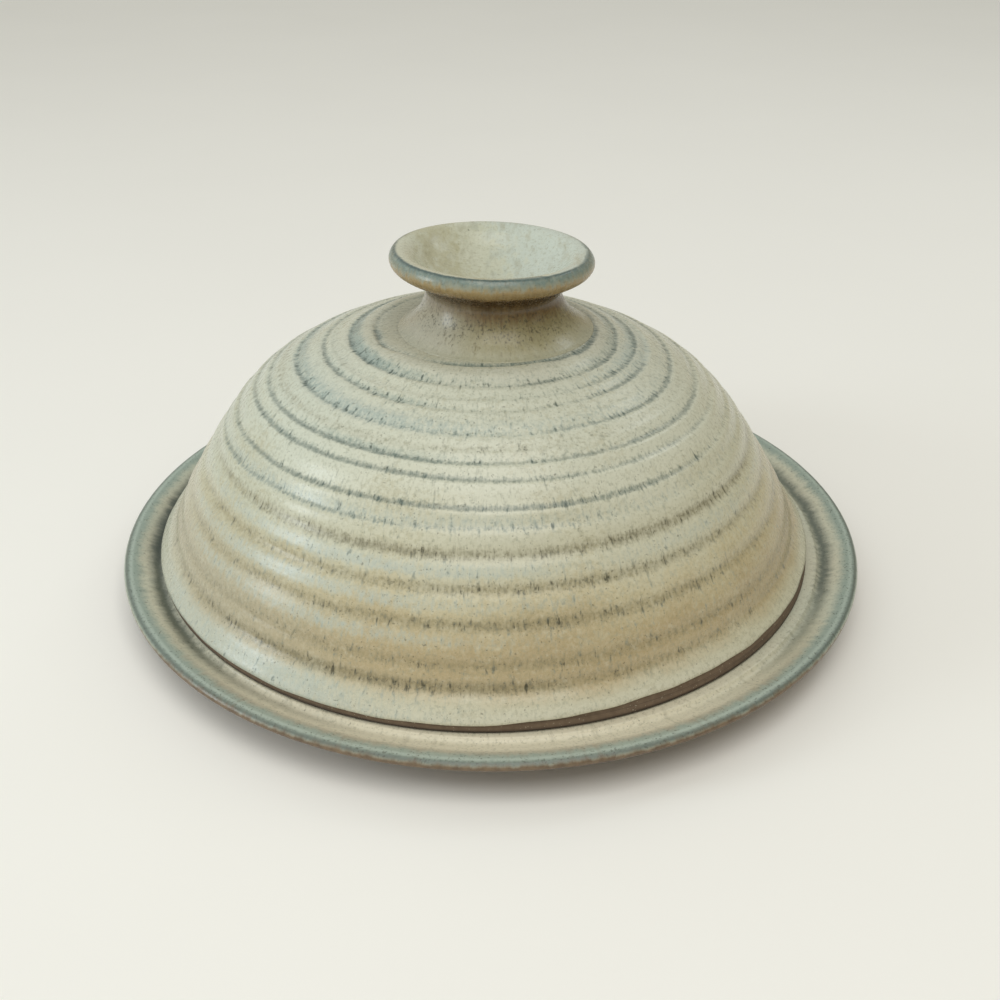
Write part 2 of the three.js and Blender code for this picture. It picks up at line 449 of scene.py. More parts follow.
# the last throwing groove circles the crown just outside the knob's foot: its strength, and its radius
# about the lid's own axis, by azimuth
CROWN_GROOVE = [
    (-180, 0.6), (-167, 0.95), (-152, 0.8), (-138, 0.5), (-120, 0.55), (-104, 0.9), (-85, 0.9), (-65, 0.8),
    (-50, 0.9), (-35, 1), (-12, 0.95), (5, 0.7), (60, 0.5), (130, 0.5),
]
CROWN_GROOVE_RADIUS = [
    (-180, 27.2), (-165, 27.2), (-150, 28), (-130, 26.6), (-90, 26.6), (-65, 27), (-45, 28.9), (-33, 29.6),
    (-18, 29.1), (0, 28.9), (40, 28.6), (90, 27.5), (140, 27),
]
CROWN_GROOVE_DEPTH = 0.3
# faint line of glaze along the edge of the knob's foot, where it shows at the left, by azimuth
FOOT_LINE = [(-180, 0.45), (-150, 0.5), (-125, 0.15), (-100, 0), (110, 0), (150, 0.3)]
FOOT_LINE_RADIUS = 25.3


def lid_out_of_true(points):
    """Leans the lid left and tilts its rings and crown up at the front, leaving the lip level."""
    height = points[..., 2] - FLOOR_Z
    share = height / LID_HEIGHT
    points[..., 0] += LID_X - LID_LEAN * share**2
    points[..., 2] -= LID_TILT * points[..., 1] * smoothstep(TILT_START, TILT_FULL, height)
    return points


def wall_rows(length):
    """Distances up the wall for the rows of vertices: closer together where a groove steps in."""
    marks = np.array([around(groove["height"], -90) for groove in GROOVES])
    rows = [0.0]
    while rows[-1] < length - ROW_SPACING:
        gap = rows[-1] - marks
        in_step = np.any((gap > -STEP_BELOW - 0.3) & (gap < STEP_ABOVE + 0.3))
        rows.append(rows[-1] + (ROW_SPACING_IN_STEP if in_step else ROW_SPACING))
    rows.append(length)
    return np.array(rows), marks


def wander_rows(rows, marks, length, azimuth):
    """Slides the rows up and down so that they follow each groove as it wanders round the lid."""
    lines = np.stack([around(groove["height"], azimuth) for groove in GROOVES])
    straight = np.concatenate([[0], marks, [length]])
    slid = np.zeros((len(rows), len(azimuth)))
    for k in range(len(azimuth)):
        wandering = np.concatenate([[0], lines[:, k], [length]])
        slid[:, k] = np.interp(rows, straight, wandering)
    return slid, lines


def groove_fields(up, lines, azimuth):
    """How far the grooves step in, and the strengths of their glazes, at every point of the wall."""
    inset = np.zeros_like(up)
    fields = {label: np.zeros_like(up) for label in ("line", "pool", "haze", "brown", "dark")}
    fields["haze"] = around(LIP_HAZE, azimuth) * smoothstep(7, 3.5, up)
    for index, groove in enumerate(GROOVES):
        above = up - lines[index]
        if "dark" in groove:
            shape = band(above, -SOFT_REACH, 0, 0, SOFT_REACH)
        else:
            upper = lines[index + 1] if index + 1 < len(GROOVES) else lines[index] + RECOVERY
            recover = np.minimum(upper - lines[index] - STEP_BELOW, RECOVERY)
            step_in = smoothstep(-STEP_BELOW, STEP_ABOVE, above)
            shape = step_in * (1 - smoothstep(0, recover, above - STEP_ABOVE))
        inset += groove["depth"] * (1 + 0.25 * ripple(azimuth, 0, index, 1)) * shape
        width = groove.get("width", 1)
        reaches = {
            "line": band(above, -1.25, 0.1, 0.1, 2.1),
            "pool": band(above, -0.9, 0.4, 0.4 * width, 1.5 * width),
            "haze": band(above, -2, 0.6, 0.6 * width, 2.2 * width),
            "brown": band(above, -2.8, 0, 0.2, 2.8),
        }
        for label, reach in reaches.items():
            if label in groove:
                strength = around(groove[label], azimuth) * reach
                fields[label] = np.maximum(fields[label], strength)
        if "dark" in groove:
            strength = around(groove["brown"], azimuth) * groove["dark"] * reaches["brown"]
            fields["dark"] = np.maximum(fields["dark"], strength)
    return inset, fields


def lip_drop(azimuth):
    fine = 0.07 * np.sin(np.radians(azimuth) * 23) + 0.06 * np.sin(np.radians(azimuth) * 41 + 1)
    return around(LIP_DROP, azimuth) + fine


def dome_outer(azimuth):
    """Rings of the outer wall from the lip to the crown, with what the glaze needs to know at each point."""
    wall = Profile(DOME_OUTSIDE)
    rows, marks = wall_rows(wall.length)
    up, lines = wander_rows(rows, marks, wall.length, azimuth)
    inset, fields = groove_fields(up, lines, azimuth)
    radial, rise = wall.square(up)
    out = ripple(azimuth, up, 1, 0.1) * band(up, 0, 6, 78, 84) - inset
    drop = lip_drop(azimuth) * (1 - smoothstep(0, 5, up))
    bead = 0.16 * smoothstep(2.2, 0.8, up) * smoothstep(0, 0.5, up + 0.2)
    follow = 0.06 * np.maximum(drop, 0) + LIP_SLOPE * np.minimum(drop, 0)
    radius = wall.radius(up) + radial * out + bead + follow
    height = FLOOR_Z + wall.height(up) + rise * out - drop
    return radius, height, fields | {"up": up}


def dome_foot(azimuth):
    """Rings of the bare foot, from the inside edge, across the standing face and up to the glazed lip."""
    drop = lip_drop(azimuth)
    edge = LIP_RISE - drop
    lip = LIP_RADIUS + LIP_SLOPE * np.minimum(drop, 0)
    rings = list(FOOT_CORNERS)
    for share in (0.2, 0.4, 0.6, 0.8, 0.97):
        rings.append((88.2 + (lip - 0.3 - 88.2) * share, 0.55 + (edge - 0.8) * share))
    rings.append((lip - 0.12, edge - 0.2))
    rings.append((lip + 0.02, edge - 0.12))
    radius = np.stack([ring[0] + 0 * azimuth for ring in rings])
    height = np.stack([FLOOR_Z + ring[1] + 0 * azimuth for ring in rings])
    bare = np.ones_like(radius)
    bare[-1] = 0
    bare[-2] = 0.5
    return radius, height, {"bare": bare}


def dome_inner(azimuth):
    """Rings of the glazed inside, from near the axis down to the foot, with faint throwing rings."""
    wall = Profile(DOME_OUTSIDE)
    up = np.linspace(wall.length, 3.4, 60)[:, None] + 0 * azimuth
    radial, rise = wall.square(up)
    ring_pitch = 8.5
    turn = up * 2 * math.pi / ring_pitch + 0.6 * np.sin(np.radians(azimuth))
    out = -LID_WALL - 0.1 + 0.096 * np.sin(turn) * smoothstep(2, 8, up)
    radius = wall.radius(up) + radial * out
    height = FLOOR_Z + wall.height(up) + rise * out
    crown = np.array([1.5, 6, 12, 18, 22])[:, None] + 0 * azimuth
    radius = np.vstack([crown, radius])
    height = np.vstack([SEAT_Z - LID_WALL + 0 * crown, height])
    up = np.vstack([wall.length + 2 + 0 * crown, up])
    near_foot = 1 - smoothstep(3.4, 4.4, up)
    return radius, height, {"up": up, "bare": near_foot, "inside": np.ones_like(up)}


def crown_rings(azimuth):
    """Flat crown under the knob, from the wall in to the axis."""
    radius = np.concatenate([np.arange(28.5, 21, -0.3), [20, 16, 12, 8, 2]])[:, None] + 0 * azimuth
    return radius, SEAT_Z + 0 * radius, {"up": WALL_LENGTH + (SEAT_RADIUS - radius)}


def cut_crown_groove(points, values, azimuth):
    """The groove round the crown, with glaze gathered in it and to its inner side."""
    on_top = points[..., 2] > SEAT_Z - 4
    from_axis = np.hypot(points[..., 0] - LID_X + LID_LEAN, points[..., 1])
    from_knob = np.hypot(points[..., 0] - KNOB_FOOT_X, points[..., 1])
    strength = around(CROWN_GROOVE, azimuth) * on_top
    gap = from_axis - around(CROWN_GROOVE_RADIUS, azimuth)
    clear = smoothstep(25.3, 26.1, from_knob)
    points[..., 2] -= CROWN_GROOVE_DEPTH * strength * smoothstep(1.1, 0, np.abs(gap)) * clear
    values["line"] = np.maximum(values["line"], strength * smoothstep(1.9, 0.1, np.abs(gap)))
    inner = smoothstep(-3.4, -0.4, gap) * smoothstep(1.2, 0.2, gap)
    values["pool"] = np.maximum(values["pool"], 0.5 * strength * inner)
    foot = around(FOOT_LINE, azimuth) * on_top * smoothstep(0.8, 0.1, np.abs(from_knob - FOOT_LINE_RADIUS))
    values["line"] = np.maximum(values["line"], foot)


def build_dome():
    azimuth = np.arange(DOME_SEGMENTS) * 360.0 / DOME_SEGMENTS
    parts = [dome_inner(azimuth), dome_foot(azimuth), dome_outer(azimuth), crown_rings(azimuth)]
    radius = np.vstack([part[0] for part in parts])
    height = np.vstack([part[1] for part in parts])
    labels = ("up", "line", "pool", "haze", "brown", "dark", "bare", "inside")
    values = {}
    for label in labels:
        values[label] = np.vstack([part[2].get(label, np.zeros_like(part[0])) for part in parts])
    points = lid_out_of_true(place(radius, height, azimuth + 0 * radius))
    cut_crown_groove(points, values, azimuth)
    finish_pot(pot_mesh("dome_pot", points, values), dome_glaze(), "lid", "dome")


# ---------------------------------------------------------------- knob

KNOB_FOOT = [
    [24.8, -0.05], [25.25, -0.04], [25.15, 0.03], [24.7, 0.2], [24.1, 0.52], [23.2, 1.15], [20.8, 3.1],
    [18.9, 5.4], [17.7, 7.8], [17.2, 9.8], [17.5, 11], [18.8, 12.4], [20.8, 13.7], [23, 14.8],
    [24.8, 16], [25.6, 17.2], [25.7, 18.4], [25.2, 19.5], [24.3, KNOB_RISE], [23.2, KNOB_RISE],
    [21.6, 20.05], [20, 19.1], [18.2, 17.5], [16, 15.7], [12, 13.6], [8, 12], [4, 11.2], [1, 11],
]
KNOB_BED = 0.05  # its foot is bedded this deep in the crown
KNOB_ROW_SPACING = 0.42
KNOB_EDGE_SPACING = 0.07  # closer rows along the thin edge of its foot
KNOB_UNEVENNESS = 0.1

# darkness of the thin line of glaze along the crest, and of a smear that starts on it and reaches
# inwards, with its reach in mm, by azimuth
KNOB_CREST_LINE = [
    (-178, 0.9), (-150, 1), (-90, 1), (-45, 0.9), (-20, 0.6), (0, 0.5), (35, 0.35), (50, 0), (140, 0),
    (165, 0.5),
]
KNOB_SMEAR = [
    (-100, 0), (-84, 0.5), (-72, 0.9), (-62, 1), (-55, 0.3), (-45, 0), (-30, 0.2), (-12, 0.6), (8, 0.5),
    (30, 0.3), (48, 0), (200, 0),
]
KNOB_SMEAR_REACH = [(-110, 3), (-50, 3), (-30, 2), (60, 2), (150, 2)]
KNOB_SMEAR_START = -0.8  # from the crest, inwards


def knob_out_of_true(points):
    """Leans the knob left, tips its rim down to the right and up at the front, and seats it on the crown."""
    share = np.minimum(1, (points[..., 2] - SEAT_Z) / KNOB_RISE)
    lift = LID_TILT + (KNOB_LIFT - LID_TILT) * share
    points[..., 2] += SLIP - lift * points[..., 1] - KNOB_DIP * share * points[..., 0]
    points[..., 0] += KNOB_FOOT_X + (KNOB_RIM_X - KNOB_FOOT_X) * share
    return points


def build_knob():
    azimuth = np.arange(KNOB_SEGMENTS) * 360.0 / KNOB_SEGMENTS
    shape = Profile(KNOB_FOOT)
    edge_rows = np.arange(0, KNOB_ROW_SPACING, KNOB_EDGE_SPACING)
    other_rows = steps_along(KNOB_ROW_SPACING, shape.length)[1:]
    along = np.concatenate([edge_rows, other_rows])[:, None] + 0 * azimuth
    uneven = ripple(azimuth, along, 5, KNOB_UNEVENNESS) * smoothstep(1.5, 6, along)
    radial, rise = shape.square(along)
    under = np.array([1, 12, 22, 23.6])[:, None] + 0 * azimuth
    radius = np.vstack([under, shape.radius(along) + radial * uneven])
    height = np.vstack([0 * under - KNOB_BED, shape.height(along) + rise * uneven])
    points = knob_out_of_true(place(radius, SEAT_Z + height, azimuth + 0 * radius))
    crest = shape.along[np.argmax(shape.curve[:, 1])]
    inward = np.vstack([0 * under - 1, along]) - crest
    across = (inward - KNOB_SMEAR_START) / around(KNOB_SMEAR_REACH, azimuth)
    smear = around(KNOB_SMEAR, azimuth) * band(across, -0.1, 0.1, 0.5, 1)
    values = {"along": inward, "rise": height, "crest": around(KNOB_CREST_LINE, azimuth), "smear": smear}
    finish_pot(pot_mesh("knob_pot", points, values), knob_glaze(), "lid", "knob")


# ---------------------------------------------------------------- shader tools


def linear(colour):
    """An sRGB colour written 0 to 255, as Blender's linear colour."""
    channels = []
    for value in colour:
        share = value / 255
        channels.append(share / 12.92 if share <= 0.04045 else ((share + 0.055) / 1.055) ** 2.4)
    return (*channels, 1)


class Value:
    """A number that varies over a surface, such as a noise, and takes part in plain arithmetic."""

    def __init__(self, nodes, socket):
        self.nodes = nodes
        self.socket = socket

    def __add__(self, other):
        return self.nodes.math("ADD", self, other)

    def __sub__(self, other):
        return self.nodes.math("SUBTRACT", self, other)

    def __rsub__(self, other):
        return self.nodes.math("SUBTRACT", other, self)

    def __mul__(self, other):
        return self.nodes.math("MULTIPLY", self, other)

    def __truediv__(self, other):
        return self.nodes.math("DIVIDE", self, other)


class Nodes:
    """A node tree under construction."""

    def __init__(self, tree):
        self.tree = tree
        tree.nodes.clear()

    def new(self, kind):
        return self.tree.nodes.new("ShaderNode" + kind)

    def put(self, socket, value):
        if isinstance(value, Value):
            value = value.socket
        if isinstance(value, bpy.types.NodeSocket):
            self.tree.links.new(value, socket)
        else:
            socket.default_value = value

    def math(self, operation, *values):
        node = self.new("Math")
        node.operation = operation
        for socket, value in zip(node.inputs, values):
            self.put(socket, value)
        return Value(self, node.outputs[0])

    def most(self, first, *others):
        for other in others:
            first = self.math("MAXIMUM", first, other)
        return first

    def attribute(self, label):
        node = self.new("Attribute")
        node.attribute_name = label
        return Value(self, node.outputs["Fac"])

    def step(self, value, low, high, bottom=0.0, top=1.0):
        """Smooth ramp from bottom at low to top at high."""
        node = self.new("MapRange")
        node.interpolation_type = "SMOOTHSTEP"
        for socket, number in zip(node.inputs, (value, low, high, bottom, top)):
            self.put(socket, number)
        return Value(self, node.outputs[0])

    def hump(self, value, low, middle, high):
        """Rises from 0 at low to 1 at middle and falls to 0 at high."""
        return self.step(value, low, middle) * self.step(value, middle, high, 1.0, 0.0)

    def position(self):
        """Where the point is at rest, in mm, so that a glaze moves with its pot."""
        node = self.new("VectorMath")
        node.operation = "SCALE"
        self.put(node.inputs[0], self.new("TexCoord").outputs["Object"])
        node.inputs["Scale"].default_value = 1 / MM
        return node.outputs[0]

    def split(self, vector):
        node = self.new("SeparateXYZ")
        self.put(node.inputs[0], vector)
        return [Value(self, socket) for socket in node.outputs]

    def joined(self, x, y, z):
        node = self.new("CombineXYZ")
        for socket, value in zip(node.inputs, (x, y, z)):
            self.put(socket, value)
        return node.outputs[0]

    def noise(self, vector, per_mm, detail=2.0, rough=0.5, shift=0.0):
        """Soft noise, about 0.3 to 0.7, with per_mm features to the millimetre."""
        shifted = self.new("VectorMath")
        shifted.operation = "ADD"
        self.put(shifted.inputs[0], vector)
        shifted.inputs[1].default_value = (shift, shift * 0.7, shift * 1.3)
        node = self.new("TexNoise")
        self.put(node.inputs["Vector"], shifted.outputs[0])
        node.inputs["Scale"].default_value = per_mm
        node.inputs["Detail"].default_value = detail
        node.inputs["Roughness"].default_value = rough
        return Value(self, node.outputs["Fac"])

    def drift(self, vector, per_mm, detail=2.0, rough=0.5, shift=0.0):
        """The same noise, centred on 0."""
        return self.noise(vector, per_mm, detail, rough, shift) - 0.5

    def flow(self, vector, centre_x, ring, stretch):
        """Coordinates for runs of glaze: fine round the pot, long up and down it. ring is a radius in mm."""
        x, y, z = self.split(vector)
        x = x - centre_x
        radius = self.most(self.math("SQRT", x * x + y * y), 0.5)
        lift = z + radius * -0.8
        return self.joined(x / radius * ring, y / radius * ring, lift * (1 / stretch))

    def blend(self, share, first, second, mode="MIX"):
        """Mix of two colours; a colour may be an sRGB triple or a socket."""
        node = self.new("Mix")
        node.data_type = "RGBA"
        node.blend_type = mode
        node.clamp_factor = True
        sockets = [s for s in node.inputs if s.enabled]
        self.put(sockets[0], share)
        for socket, colour in zip(sockets[1:], (first, second)):
            self.put(socket, linear(colour) if isinstance(colour, tuple) else colour)
        return next(s for s in node.outputs if s.enabled)

    def tint(self, colour, value, low, high, most, tone):
        """Blends tone over colour as value goes from low to high, by this much at most."""
        return self.blend(self.step(value, low, high, 0.0, most), colour, tone)

    def ramp(self, value, stops):
        """Colour that changes with value through (value, sRGB colour) stops."""
        low = stops[0][0]
        span = stops[-1][0] - low
        node = self.new("ValToRGB")
        elements = node.color_ramp.elements
        while len(elements) < len(stops):
            elements.new(0.5)
        for element, (at, colour) in zip(elements, stops):
            element.position = (at - low) / span
            element.color = linear(colour)
        self.put(node.inputs[0], (value - low) * (1 / span))
        return node.outputs[0]

    def bump(self, height, depth_mm):
        node = self.new("Bump")
        node.inputs["Distance"].default_value = depth_mm * MM
        self.put(node.inputs["Height"], height)
        return node.outputs["Normal"]


class Glaze(Nodes):
    """The nodes of a new material."""

    def __init__(self, name):
        self.material = bpy.data.materials.new(name)
        self.material.use_nodes = True
        super().__init__(self.material.node_tree)

    def finish(self, colour, roughness, normal):
        surface = self.new("BsdfPrincipled")
        self.put(self.new("OutputMaterial").inputs["Surface"], surface.outputs["BSDF"])
        self.put(surface.inputs["Base Color"], colour)
        self.put(surface.inputs["Roughness"], roughness)
        self.put(surface.inputs["Normal"], normal)
        self.put(surface.inputs["IOR"], 1.5)
        return self.material


# ---------------------------------------------------------------- glazes

# ground glaze of the lid, as (distance up the wall in mm, colour): pale lip, tan foot, grey-green crown
LID_GROUND = [
    (0, (208, 206, 186)),
    (3, (206, 203, 180)),
    (7, (188, 172, 136)),
    (12, (182, 165, 128)),
    (18, (190, 177, 142)),
    (25, (199, 190, 158)),
    (33, (203, 201, 178)),
    (42, (202, 201, 180)),
    (50, (209, 210, 192)),
    (60, (206, 208, 191)),
    (78, (202, 204, 187)),
    (85, (196, 196, 179)),
    (90, (184, 182, 160)),
]
# outside of the knob, as (height above the crown, colour); its darkest brown, 12 to 14.2 mm up where the neck
# turns out under the rim, is brown glaze with painted shadow of the rim
KNOB_GROUND = [
    (0, (182, 180, 156)),
    (3, (166, 160, 126)),
    (6, (152, 142, 104)),
    (8.5, (124, 102, 66)),
    (12, (66, 48, 26)),
    (14.2, (62, 44, 22)),
    (15.6, (132, 108, 68)),
    (17.6, (156, 136, 94)),
    (18.6, (146, 148, 130)),
    (19.6, (116, 132, 126)),
    (21, (150, 162, 152)),
]
BLUE = (138, 156, 150)  # glaze gathered in a groove
LINE = (80, 97, 92)  # glaze gathered thickest
BROWN = (134, 126, 96)
TICK = (66, 62, 40)  # short dark hairs in the bands
SPECK = (62, 62, 48)
# pale blue-grey glaze, and a painted reflection where the haze stands in for window glints
HAZE = (186, 195, 186)
CLAY = (134, 116, 98)  # bare fired stoneware
CLAY_DARK = (94, 78, 64)
BLACK_CLAY = (42, 36, 32)  # where dirt and shadow gather
GRIT = (196, 188, 170)
UNDER_GLAZE = (100, 84, 66)  # thin glaze that has turned brown
UNDER_GLAZE_PALE = (124, 106, 84)
FOOT_CLAY = (132, 110, 96)  # bare foot ring of the plate
# radii at which runs of glaze have their true width: low and high on the lid, on the plate and the knob
LOW_RING = 80
HIGH_RING = 46
PLATE_RING = 95
KNOB_RING = 25


def speckled(g, colour, where, amount, weight=1.0):
    """Iron specks: many fine ones and a few large, denser where amount is high."""
    fine = g.step(g.noise(where, 1.7, 1.0, 0.5, 11.0) + amount * 0.13, 0.69, 0.77)
    large = g.step(g.noise(where, 0.85, 1.5, 0.6, 47.0) + amount * 0.10, 0.73, 0.79)
    return g.blend(g.most(fine, large) * (0.6 * weight), colour, SPECK)


def two_runs(g, where, up, low, high, per_mm, detail):
    """Runs of glaze down the lid, centred on 0, from two patterns (stretch, shift) that fade into each
    other, because one pattern would crowd together towards the crown."""
    low_runs = g.noise(g.flow(where, LID_X, LOW_RING, low[0]), per_mm, detail, 0.6, low[1])
    high_runs = g.noise(g.flow(where, LID_X, HIGH_RING, high[0]), per_mm, detail, 0.6, high[1])
    return low_runs + (high_runs - low_runs) * g.step(up, 48, 62) - 0.5


def dome_glaze():
    g = Glaze("dome_glaze")
    where = g.position()
    x, _, z = g.split(where)
    labels = ("up", "brown", "dark", "haze", "pool", "line", "bare", "inside")
    up, brown, dark, haze, pool, line, bare, inside = [g.attribute(label) for label in labels]
    runs = two_runs(g, where, up, (3.0, 0.0), (2.6, 5.0), 0.8, 3.0)
    hairs = two_runs(g, where, up, (4.0, 13.0), (3.0, 17.0), 1.3, 2.0)
    mottle = g.drift(where, 0.7, 3.0, 0.65, 3.0)
    cloud = g.drift(where, 0.05, 2.0, 0.5, 8.0)
    grain = g.drift(where, 1.2, 2.0, 0.55, 21.0)
    left = g.step(x, -15, -70)
    right = g.step(x, 35, 85)

    # ground, drifting in clouds; greyer to the left
    wander = (cloud * 22 + mottle * 9 + runs * 7) * g.step(up, 2, 14, 0.25, 1.0)
    colour = g.ramp(up + wander, LID_GROUND)
    colour = g.blend(left * g.step(up, 36, 12, 0.0, 0.35), colour, (192, 186, 168))
    # painted cool light: the left side, which faces the left window, is tinted cooler
    colour = g.blend(left, colour, (240, 246, 250), "MULTIPLY")
    # painted shade: the right side, away from the left window, is darkened
    colour = g.blend(right, colour, (242, 242, 236), "MULTIPLY")
    colour = g.tint(colour, mottle, 0.0, 0.25, 0.30, (218, 216, 196))
    colour = g.tint(colour, mottle + cloud * 0.6, -0.02, -0.25, 0.28, (172, 164, 132))
    colour = g.tint(colour, runs, 0.04, 0.26, 0.25, (158, 152, 126))
    colour = g.tint(colour, grain, 0.0, 0.22, 0.34, (146, 146, 122))
    colour = g.tint(colour, grain, 0.0, -0.22, 0.12, (218, 216, 198))
    colour = g.tint(colour, hairs, 0.05, 0.25, 0.25, (140, 136, 108))

    # bands of gathered glaze, ragged with runs and flecks
    ragged = runs + hairs * 1.2 + grain * 0.8
    colour = g.tint(colour, brown + ragged * 0.5, 0.05, 1.0, 0.6, BROWN)
    colour = g.tint(colour, dark + ragged * 0.8, 0.25, 1.0, 0.62, TICK)
    # haze: pale glaze, partly painted reflection of the windows
    colour = g.tint(colour, haze + ragged * 0.8, 0.05, 1.0, 0.85, HAZE)
    colour = g.tint(colour, pool + ragged * 0.65, 0.05, 1.0, 0.8, BLUE)
    colour = g.tint(colour, line + ragged * 0.75, 0.25, 1.15, 0.62, LINE)

    # dark strokes and iron specks, most of them where glaze has gathered
    gathered = g.most(brown * 0.8, dark, pool + line * 0.5, haze * 0.5)
    wisps = runs * 0.75 + hairs * 0.5 + mottle * 0.25
    strokes = g.step(wisps + gathered * 0.10, 0.13, 0.25) * g.step(gathered, 0.0, 0.7, 0.26, 0.88)
    colour = g.blend(strokes, colour, g.blend(g.most(pool, line, haze), TICK, LINE))
    colour = speckled(g, colour, where, gathered * 0.7, 0.8)

    # inside: plain tan-grey glaze
    inner = g.blend(g.step(mottle, -0.2, 0.2), (176, 168, 140), (196, 190, 164))
    inner = speckled(g, inner, where, 0.2)
    colour = g.blend(inside, colour, inner)

    # bare clay foot, with an uneven glaze edge
    edge = g.step(bare + grain * 0.8, 0.4, 0.6)
    turned = g.drift(g.flow(where, LID_X, 3, 0.2), 0.5, 2.0, 0.6, 4.0)
    clay = g.blend(g.noise(where, 0.5, 3.0, 0.6, 2.0), CLAY_DARK, CLAY)
    clay = g.tint(clay, g.noise(where, 2.0, 1.0, 0.5, 31.0), 0.70, 0.75, 0.7, GRIT)
    clay = g.tint(clay, turned, 0.0, 0.2, 0.5, BLACK_CLAY)
    # painted contact shadow: the bare foot darkens to near black towards where it stands on the plate
    clay = g.tint(clay, z, FLOOR_Z + 1.4, FLOOR_Z + 0.4, 0.95, BLACK_CLAY)
    colour = g.blend(edge, colour, clay)
    rind = g.hump(bare + grain * 0.6, 0.15, 0.5, 0.95)
    colour = g.blend(rind * 0.6, colour, BLACK_CLAY)

    gloss = g.step(mottle, -0.2, 0.2, 0.24, 0.34)
    rough = (1.0 - edge) * gloss + edge * 0.85
    return g.finish(colour, rough, g.bump(grain * 0.2 + mottle * 0.6 + runs * 0.4, 0.08))


def plate_glaze():
    g = Glaze("plate_glaze")
    where = g.position()
    x, y, z = g.split(where)
    top = g.attribute("top")
    reach = g.math("SQRT", x * x + y * y)
    runs = g.drift(g.flow(where, 0.0, PLATE_RING, 6.0), 0.5, 2.0, 0.6) * g.step(reach, 84, 91)
    mottle = g.drift(where, 0.5, 3.0, 0.65, 3.0)
    cloud = g.drift(where, 0.04, 2.0, 0.5, 8.0)
    grain = g.drift(where, 1.3, 2.0, 0.6, 21.0)
    wavy = reach + runs * 2.4 + mottle * 1.6 + grain

    # ground, greyer at the sides, with faint throwing rings on the floor
    colour = g.blend(g.step(cloud, -0.15, 0.15), (214, 204, 178), (208, 206, 184))
    # painted light: the plate is lighter towards the front, making up for the lid's shade on the front flange
    colour = g.blend(g.step(y, -50, -88), colour, (222, 214, 190))
    # greyer at both sides; on the right flange this pale grey-green is also a painted highlight of the back
    # window
    colour = g.tint(colour, g.math("ABSOLUTE", x), 45, 90, 0.55, (184, 190, 174))
    colour = g.tint(colour, mottle, 0.0, 0.25, 0.35, (214, 210, 190))
    colour = g.tint(colour, runs, 0.04, 0.26, 0.35, (160, 154, 132))
    colour = g.tint(colour, grain, 0.0, 0.22, 0.4, (150, 146, 122))
    colour = g.tint(colour, grain, 0.0, -0.22, 0.12, (222, 218, 200))
    on_floor = top * g.step(reach, 90, 84)
    rings = g.math("SINE", reach * 0.85 + mottle * 5.0 + cloud * 9.0)
    colour = g.blend(on_floor * g.step(rings, 0.0, 1.0, 0.0, 0.22), colour, (168, 164, 140))

    # blue-grey rim, with painted shade where its outer edge turns down and a painted highlight line along its
    # crest, and the dark groove round the floor
    rim = g.step(wavy, 94.2, 97.2) * g.step(reach, 99.5, 100.0, 1.0, 0.5)
    colour = g.blend(rim * 0.75, colour, (124, 146, 140))
    # painted shade: the rim darkens where its outer edge turns down
    colour = g.blend(g.hump(reach + grain * 0.6, 98.2, 99.3, 99.9) * 0.65, colour, (66, 76, 70))
    # painted highlight: a paler line along the rim's crest
    colour = g.blend(g.hump(reach + grain * 0.5, 97.2, 98.0, 98.8) * 0.4, colour, (186, 198, 188))
    # dark groove: gathered glaze with a painted dark reflection in its hollow
    ring = g.hump(wavy, 88.2, 91.2, 94.4) * g.attribute("groove")
    colour = g.blend(ring * 0.9, colour, (76, 86, 76))
    # painted reflection: a dark patch on the flange at the left
    painted_dark_reflection = g.attribute("smear") * g.hump(wavy, 86, 91, 96)
    colour = g.blend(painted_dark_reflection * 0.85, colour, (60, 72, 66))
    colour = speckled(g, colour, where, g.most(ring, rim) * 0.6, 0.8)

    # below the rim the glaze thins to brown, and the foot ring and its recess are bare
    thin = g.step(y, -30, -75, 0.0, 0.9)
    below = g.step(z + runs * 1.4 - thin, 9.6, 10.6, 1.0, 0.0)
    under_glaze = g.blend(g.step(mottle, -0.2, 0.2), UNDER_GLAZE, UNDER_GLAZE_PALE)
    colour = g.blend(below * g.step(reach, 93, 98), colour, under_glaze)
    beneath = 1.0 - top
    colour = g.blend(beneath, colour, under_glaze)
    foot = beneath * g.step(reach + mottle * 1.5, 68.6, 69.4, 1.0, 0.0)
    clay = g.blend(g.noise(where, 0.4, 3.0, 0.6, 2.0), CLAY_DARK, FOOT_CLAY)
    colour = g.blend(foot, colour, clay)

    gloss = g.step(mottle, -0.2, 0.2, 0.28, 0.40)
    rough = (1.0 - foot) * gloss + foot * 0.85
    return g.finish(colour, rough, g.bump(grain * 0.3 + mottle * 0.8 + rings * on_floor * 0.6, 0.08))


